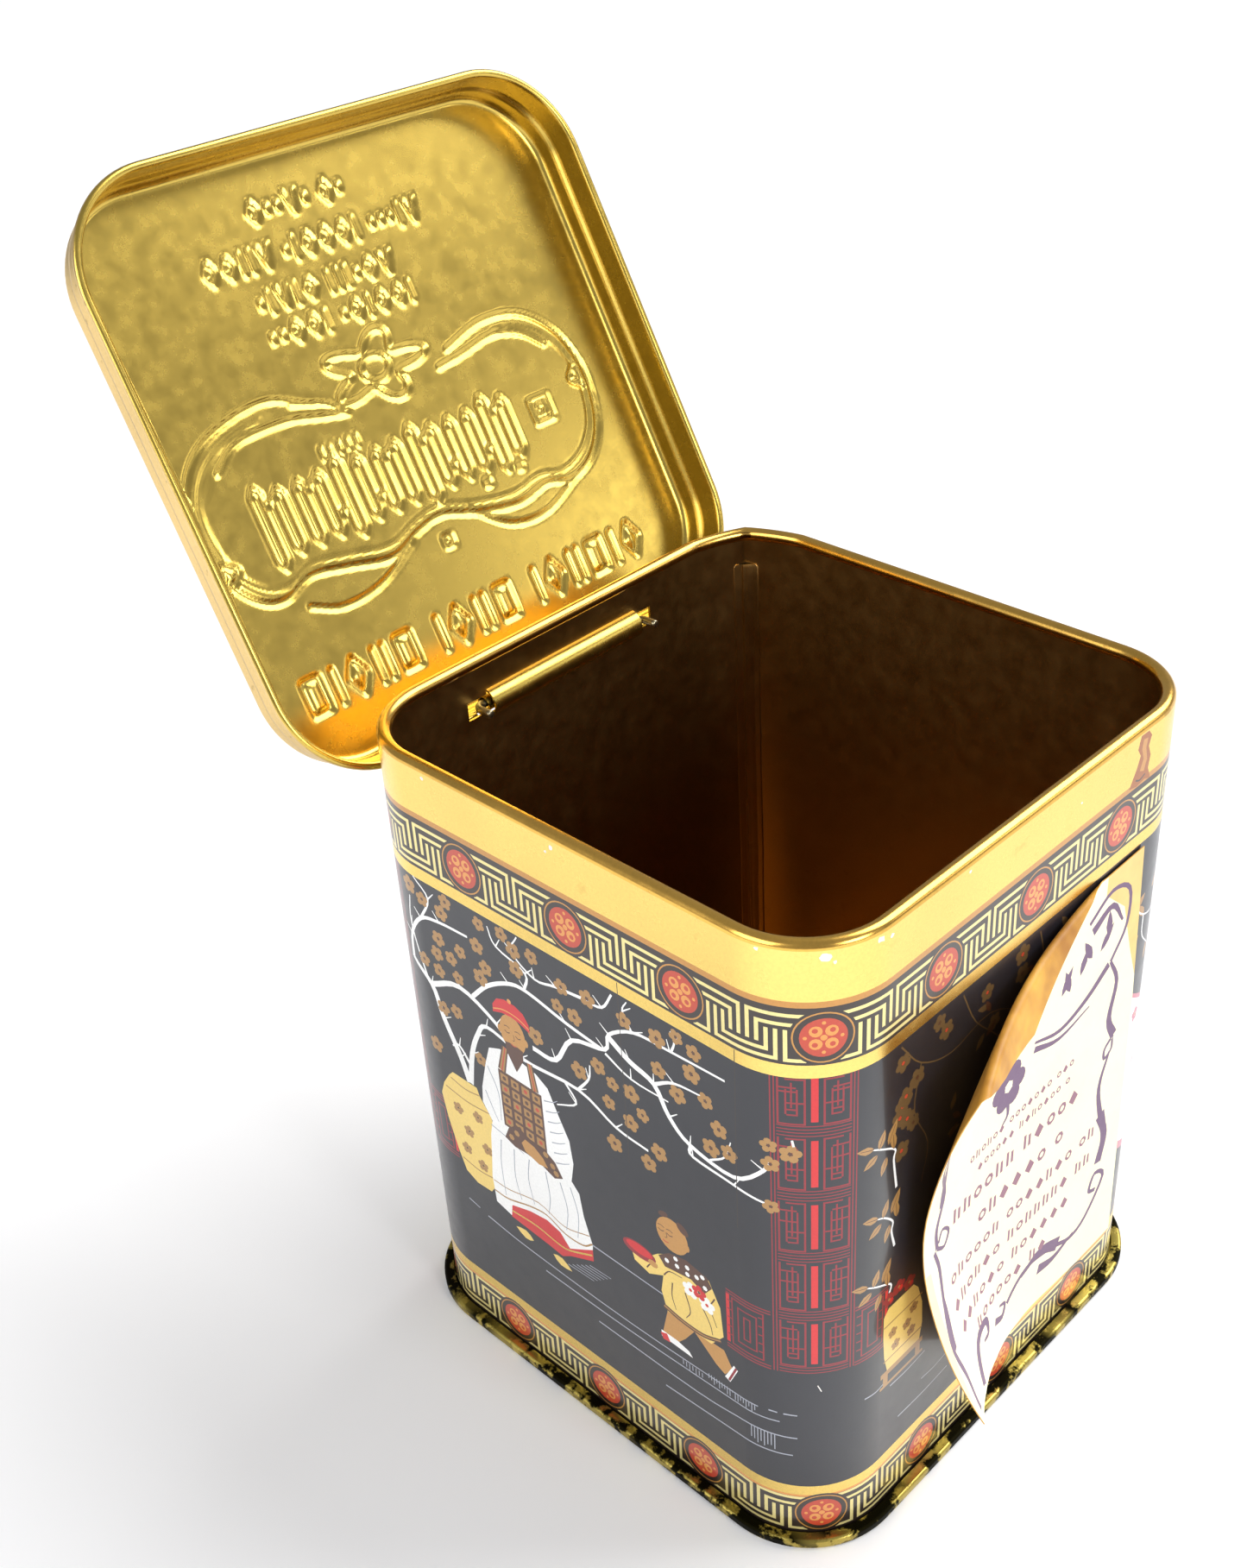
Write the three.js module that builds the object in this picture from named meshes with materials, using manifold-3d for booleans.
// Square tinplate tea tin with a hinged lid, standing open with the lid on its stop.
// Millimetres, +Z up, the hinge wall at +Y. The origin is the centre of the bottom panel's underside.
import * as THREE from "three";
import { mergeVertices } from "three/addons/utils/BufferGeometryUtils.js";
import Module from "manifold-3d";

const wasm = await Module();
wasm.setup();

// ---- driving dimensions --------------------------------------------------------------------------
const HALF = 40; // outer wall face to the centre plane, all four walls
const CORNER = 12.6; // outer radius of the upright corners
const HEIGHT = 101.6; // table to the top of the rim curl
const SHEET = 0.35; // tinplate, drawn a little heavier than the real 0.25
const GAP = 0.3; // between sheets that touch on the real tin
const CURL = 1.0; // outer radius of the rim curl
const RECESS = 2.0; // bottom panel above the table
const FLANGE = 1.6; // foot of the wall turned outwards into the bottom seam
const CORNER_STEPS = 8;
const SEAM_WIDTH = 5; // folded lock seam inside the far corner
const SEAM_DEPTH = 0.75;
const SEAM_FOOT = 3.8; // above the table
const SEAM_TOP = 98.6;
const NOTCH_WIDTH = 1.8; // gap the seam leaves in the curl
const NOTCH_DEPTH = 2.4;

// hinge: a wire in a pocket pressed into the back wall, the lid's tab rolled round it
const AXIS_Z = 92.9; // above the table
const WIRE = 0.6; // radius
const KNUCKLE_IN = 0.9; // inner radius of the rolled tab
const KNUCKLE_OUT = KNUCKLE_IN + SHEET;
const POCKET = 1.85; // inner radius of the pocket
const POCKET_HALF = 14.75; // half its length
const TAB_HALF = 13.9;
const SLOT_END = 18.3; // end slots run from the pocket's end to here
const SLOT_HALF_HEIGHT = 1.4;
const LEG_X = 16.6; // the wire's ends turn inwards here, through the slots
const LEG_LENGTH = 3.2;
const OPEN_ANGLE = 118; // degrees from closed to the stop

// lid, measured in its closed place
const LID_HALF = HALF + KNUCKLE_OUT;
const LID_CORNER = CORNER + KNUCKLE_OUT;
const LID_EDGE = 94.4; // lower edge of the skirt
const LID_TOP = 102.3;
const LID_STEP = 98.6; // the skirt steps inwards here
const LID_STEP_IN = 0.5;
const LID_SHOULDER = 1.4;
const HEM = 0.6; // outer radius of the outward curl on the skirt's edge

// paper label on the front wall
const LABEL_LEFT = -22.8;
const LABEL_RIGHT = 28.2;
const LABEL_BOTTOM = 10.4;
const LABEL_BOTTOM_LEFT = 19; // the bottom edge is trimmed up to this height at the left
const LABEL_TRIM_START = 4; // from here
const LABEL_TOP = 82;
const LABEL_FOLD_LEFT = 76.2; // height where the folded corner's crease meets the left edge
const LABEL_FOLD_RIGHT = 17; // where the crease meets the top edge
const LABEL_STEPS = 16;
const PAPER = 0.3;
const LOWER_CURL = { start: [11, 9], end: [-22.8, 55], radius: 22 }; // the sheet lifts left of each line
const UPPER_CURL = { start: [-22.8, 42], end: [17, 82.4], radius: 43 };

// ---- solids --------------------------------------------------------------------------------------
function solid(geometry) {
  const faces = geometry.clone();
  faces.deleteAttribute("normal");
  faces.deleteAttribute("uv");
  const bare = mergeVertices(faces, 1e-4);
  const mesh = new wasm.Mesh({
    numProp: 3,
    vertProperties: new Float32Array(bare.attributes.position.array),
    triVerts: new Uint32Array(bare.index.array),
  });
  return new wasm.Manifold(mesh);
}

function geometryOf(manifold) {
  const mesh = manifold.getMesh();
  const geometry = new THREE.BufferGeometry();
  geometry.setAttribute("position", new THREE.BufferAttribute(mesh.vertProperties, 3));
  geometry.setIndex(new THREE.BufferAttribute(mesh.triVerts, 1));
  return geometry;
}

function named(name, manifold, colour, roughness, metalness) {
  const material = new THREE.MeshStandardMaterial({ color: colour, roughness, metalness });
  const mesh = new THREE.Mesh(geometryOf(manifold), material);
  mesh.name = name;
  return mesh;
}

function box(x0, x1, y0, y1, z0, z1) {
  const geometry = new THREE.BoxGeometry(x1 - x0, y1 - y0, z1 - z0);
  geometry.translate((x0 + x1) / 2, (y0 + y1) / 2, (z0 + z1) / 2);
  return solid(geometry);
}

// Points of an arc as [inset, height]; degrees from the direction that points into the tin.
function arc(inset, height, radius, from, to, steps) {
  const points = [];
  for (let i = 0; i <= steps; i += 1) {
    const angle = THREE.MathUtils.degToRad(from + ((to - from) * i) / steps);
    points.push([inset + radius * Math.cos(angle), height + radius * Math.sin(angle)]);
  }
  return points;
}

// A sheet-metal section [inset, height] carried round a square with rounded corners. The section is a
// closed loop, turned clockwise so that the faces point out of the metal. The lathe gives the rings;
// each ring is then moved out to its own corner.
function carriedRound(section, half, corner) {
  const flat = section.map(([inset, height]) => new THREE.Vector2(inset, height));
  const clockwise = THREE.ShapeUtils.isClockWise(flat) ? section : [...section].reverse();
  const loop = [...clockwise, clockwise[0]];
  const ringsPerCorner = CORNER_STEPS + 1;
  const rings = 4 * ringsPerCorner;
  const profile = loop.map(([inset, height]) => new THREE.Vector2(corner - inset, height));
  const geometry = new THREE.LatheGeometry(profile, rings);
  const position = geometry.attributes.position;
  for (let ring = 0; ring <= rings; ring += 1) {
    const turned = ring % rings;
    const quarter = Math.floor(turned / ringsPerCorner);
    const step = turned % ringsPerCorner;
    const angle = ((quarter + step / CORNER_STEPS) * Math.PI) / 2;
    const sideX = quarter === 0 || quarter === 3 ? 1 : -1;
    const sideY = quarter < 2 ? 1 : -1;
    for (let i = 0; i < loop.length; i += 1) {
      const radius = corner - loop[i][0];
      const x = sideX * (half - corner) + radius * Math.cos(angle);
      const y = sideY * (half - corner) + radius * Math.sin(angle);
      position.setXYZ(ring * loop.length + i, x, y, loop[i][1]);
    }
  }
  return solid(geometry);
}

function slab(half, corner, z0, z1) {
  const straight = half - corner;
  const shape = new THREE.Shape();
  shape.moveTo(half, -straight);
  shape.lineTo(half, straight);
  shape.absarc(straight, straight, corner, 0, Math.PI / 2);
  shape.lineTo(-straight, half);
  shape.absarc(-straight, straight, corner, Math.PI / 2, Math.PI);
  shape.lineTo(-half, -straight);
  shape.absarc(-straight, -straight, corner, Math.PI, 1.5 * Math.PI);
  shape.lineTo(straight, -half);
  shape.absarc(straight, -straight, corner, 1.5 * Math.PI, 2 * Math.PI);
  const geometry = new THREE.ExtrudeGeometry(shape, {
    depth: z1 - z0,
    bevelEnabled: false,
    curveSegments: CORNER_STEPS,
  });
  geometry.translate(0, 0, z0);
  return solid(geometry);
}

// Part of a round tube along X about (y, z), its wall between two radii and two angles from +Y.
function trough(xHalf, y, z, inner, outer, from, to, steps) {
  const shape = new THREE.Shape();
  const start = THREE.MathUtils.degToRad(from);
  const end = THREE.MathUtils.degToRad(to);
  shape.absarc(0, 0, outer, start, end, false);
  shape.absarc(0, 0, inner, end, start, true);
  const geometry = new THREE.ExtrudeGeometry(shape, {
    depth: 2 * xHalf,
    bevelEnabled: false,
    curveSegments: steps,
  });
  geometry.translate(0, 0, -xHalf);
  geometry.rotateY(Math.PI / 2);
  geometry.rotateX(Math.PI / 2);
  geometry.translate(0, y, z);
  return solid(geometry);
}

// ---- body ----------------------------------------------------------------------------------------
function bodyShell() {
  const footTop = 2 * SHEET + GAP;
  const footUnder = SHEET + GAP;
  const curlZ = HEIGHT - CURL;
  const section = [
    [-FLANGE, footUnder],
    [-FLANGE, footTop],
    [0, footTop],
    ...arc(CURL, curlZ, CURL, 180, -105, 12),
    ...arc(CURL, curlZ, CURL - SHEET, -105, 180, 10),
    [SHEET, footUnder],
  ];
  let shell = carriedRound(section, HALF, CORNER);

  // folded lock seam standing inside the far corner, and the gap it leaves in the curl
  const seamOverlap = 0.3;
  const seamRadius = CORNER - SHEET - SEAM_DEPTH + seamOverlap;
  const seam = new THREE.BoxGeometry(SEAM_DEPTH, SEAM_WIDTH, SEAM_TOP - SEAM_FOOT);
  seam.translate(seamRadius, 0, (SEAM_TOP + SEAM_FOOT) / 2);
  seam.rotateZ(Math.PI / 4);
  seam.translate(HALF - CORNER, HALF - CORNER, 0);
  const notch = new THREE.BoxGeometry(2 * CURL, NOTCH_WIDTH, NOTCH_DEPTH);
  notch.translate(CORNER - 1.7 * CURL, 0, HEIGHT - 1.5 * CURL);
  notch.rotateZ(Math.PI / 4);
  notch.translate(HALF - CORNER, HALF - CORNER, 0);
  shell = shell.add(solid(seam)).subtract(solid(notch));

  // pocket pressed inwards for the hinge, open to the outside, with a slot past each end
  const mouth = box(-POCKET_HALF, POCKET_HALF, HALF - 1, HALF + 1, AXIS_Z - POCKET, AXIS_Z + POCKET);
  const press = trough(POCKET_HALF, HALF, AXIS_Z, POCKET, POCKET + SHEET, 180 - 88, 180 + 88, 12);
  const lip = SHEET + 0.02;
  const upper = box(-POCKET_HALF, POCKET_HALF, HALF - lip, HALF, AXIS_Z + POCKET, AXIS_Z + POCKET + SHEET);
  const lower = box(-POCKET_HALF, POCKET_HALF, HALF - lip, HALF, AXIS_Z - POCKET - SHEET, AXIS_Z - POCKET);
  shell = shell.subtract(mouth).add(press).add(upper).add(lower);
  for (const side of [-1, 1]) {
    const ends = [side * POCKET_HALF, side * SLOT_END].sort((a, b) => a - b);
    shell = shell.subtract(
      box(ends[0], ends[1], HALF - 4, HALF + 1, AXIS_Z - SLOT_HALF_HEIGHT, AXIS_Z + SLOT_HALF_HEIGHT),
    );
  }
  return named("body_shell", shell, 0x2b2c31, 0.25, 0.3);
}

// Bottom end: panel, chuck wall inside the body, and the edge wrapped round the body's foot.
function bottomEnd() {
  const chuck = SHEET + GAP; // inset of the chuck wall's outer face
  const hookUnder = 2 * SHEET + 2 * GAP;
  const hookTop = hookUnder + SHEET;
  const rim = -(FLANGE + GAP); // inner face of the seam's outer wall
  const section = [
    [chuck + 2.5, RECESS + SHEET],
    [chuck + 0.3, RECESS + SHEET],
    [chuck, RECESS + 0.05],
    [chuck, SHEET],
    [rim, SHEET],
    [rim, hookUnder],
    [-GAP, hookUnder],
    [-GAP, hookTop],
    [rim - 0.1, hookTop],
    [rim - SHEET, hookTop - 0.25],
    [rim - SHEET, 0.25],
    [rim - 0.1, 0],
    [chuck + 0.15, 0],
    [chuck + SHEET, 0.2],
    [chuck + SHEET, RECESS - 0.25],
    [chuck + SHEET + 0.25, RECESS],
    [chuck + 2.5, RECESS],
  ];
  const ring = carriedRound(section, HALF, CORNER);
  const panelInset = chuck + 2;
  const panel = slab(HALF - panelInset, CORNER - panelInset, RECESS, RECESS + SHEET);
  return named("bottom_end", ring.add(panel), 0x8a6c2c, 0.35, 0.9);
}

// ---- hinge wire ----------------------------------------------------------------------------------
function hingePin() {
  const bend = 1.2;
  const route = new THREE.CurvePath();
  const at = (x, y) => new THREE.Vector3(x, y, 0);
  const left = LEG_X;
  route.add(new THREE.LineCurve3(at(-left, -LEG_LENGTH), at(-left, -bend)));
  route.add(new THREE.QuadraticBezierCurve3(at(-left, -bend), at(-left, 0), at(-left + bend, 0)));
  route.add(new THREE.LineCurve3(at(-left + bend, 0), at(left - bend, 0)));
  route.add(new THREE.QuadraticBezierCurve3(at(left - bend, 0), at(left, 0), at(left, -bend)));
  route.add(new THREE.LineCurve3(at(left, -bend), at(left, -LEG_LENGTH)));
  const section = new THREE.Shape();
  section.absarc(0, 0, WIRE, 0, 2 * Math.PI);
  const geometry = new THREE.ExtrudeGeometry(section, {
    extrudePath: route,
    steps: 60,
    curveSegments: 5,
    bevelEnabled: false,
  });
  geometry.translate(0, HALF, AXIS_Z);
  return named("hinge_pin", solid(geometry), 0x9a948a, 0.35, 1);
}

// ---- lid, built closed about the hinge axis ------------------------------------------------------
function lidShell() {
  const innerStep = LID_STEP_IN + SHEET;
  const shoulderInset = LID_STEP_IN + LID_SHOULDER;
  const shoulderZ = LID_TOP - LID_SHOULDER;
  const hemInset = SHEET - HEM;
  const hemZ = LID_EDGE + HEM;
  const section = [
    ...arc(hemInset, hemZ, HEM, 135, 360, 8),
    [SHEET, LID_STEP - 0.2],
    [innerStep, LID_STEP + 0.5],
    ...arc(shoulderInset, shoulderZ, LID_SHOULDER - SHEET, 180, 90, 4),
    [shoulderInset + 2, LID_TOP - SHEET],
    [shoulderInset + 2, LID_TOP],
    ...arc(shoulderInset, shoulderZ, LID_SHOULDER, 90, 180, 4),
    [LID_STEP_IN, LID_STEP + 0.7],
    [0, LID_STEP],
    ...arc(hemInset, hemZ, HEM - SHEET, 360, 135, 6),
  ];
  const panelInset = shoulderInset + 1.5;
  let lid = carriedRound(section, LID_HALF, LID_CORNER);
  lid = lid.add(slab(LID_HALF - panelInset, LID_CORNER - panelInset, LID_TOP - SHEET, LID_TOP));

  // the hem gives way to the tab, which runs down and rolls round the wire
  const tabEnd = TAB_HALF + 0.6;
  const face = LID_HALF - SHEET;
  lid = lid.subtract(box(-tabEnd, tabEnd, face - 0.5, LID_HALF + 2, LID_EDGE - 1, hemZ + HEM + 0.1));
  const tab = box(-TAB_HALF, TAB_HALF, face, LID_HALF, AXIS_Z, hemZ + HEM + 0.4);
  const knuckle = trough(TAB_HALF, HALF, AXIS_Z, KNUCKLE_IN, KNUCKLE_OUT, -310, 0, 20);
  lid = lid.add(tab).add(knuckle).translate([0, -HALF, -AXIS_Z]);
  return named("lid", lid, 0xb48a2e, 0.3, 0.95);
}

// ---- paper label ---------------------------------------------------------------------------------
// Beyond a line on the wall the sheet follows an arc away from it.
function curlOver(point, { start, end, radius }) {
  const along = new THREE.Vector2(end[0] - start[0], end[1] - start[1]).normalize();
  const away = new THREE.Vector2(-along.y, along.x);
  const beyond = Math.max(0, (point.x - start[0]) * away.x + (point.z - start[1]) * away.y);
  const angle = beyond / radius;
  const shortened = radius * Math.sin(angle) - beyond;
  return {
    x: point.x + away.x * shortened,
    z: point.z + away.y * shortened,
    lift: point.lift + radius * (1 - Math.cos(angle)),
  };
}

function paperLabel() {
  const width = LABEL_RIGHT - LABEL_LEFT;
  const geometry = new THREE.BoxGeometry(1, 1, 1, LABEL_STEPS, 1, LABEL_STEPS);
  const position = geometry.attributes.position;
  for (let i = 0; i < position.count; i += 1) {
    const x = LABEL_LEFT + (position.getX(i) + 0.5) * width;
    const crease = (x - LABEL_LEFT) / (LABEL_FOLD_RIGHT - LABEL_LEFT);
    const top = Math.min(LABEL_TOP, LABEL_FOLD_LEFT + (LABEL_TOP - LABEL_FOLD_LEFT) * crease);
    const trim = Math.max(0, (LABEL_TRIM_START - x) / (LABEL_TRIM_START - LABEL_LEFT));
    const bottom = LABEL_BOTTOM + (LABEL_BOTTOM_LEFT - LABEL_BOTTOM) * trim;
    const flat = { x, z: bottom + (position.getZ(i) + 0.5) * (top - bottom), lift: 0 };
    const point = curlOver(curlOver(flat, LOWER_CURL), UPPER_CURL);
    const outer = position.getY(i) < 0 ? PAPER : 0;
    position.setXYZ(i, point.x, -HALF - GAP - outer - point.lift, point.z);
  }
  return named("paper_label", solid(geometry), 0xf4ecc0, 0.7, 0);
}

// ---- assembly ------------------------------------------------------------------------------------
const tin = new THREE.Group();
tin.position.z = -RECESS;
tin.add(bodyShell(), bottomEnd(), hingePin(), paperLabel());

const lidSwing = new THREE.Group();
lidSwing.position.set(0, HALF, AXIS_Z);
lidSwing.rotation.x = -THREE.MathUtils.degToRad(OPEN_ANGLE);
lidSwing.add(lidShell());
tin.add(lidSwing);

const assembly = new THREE.Group();
assembly.add(tin);
export default assembly;
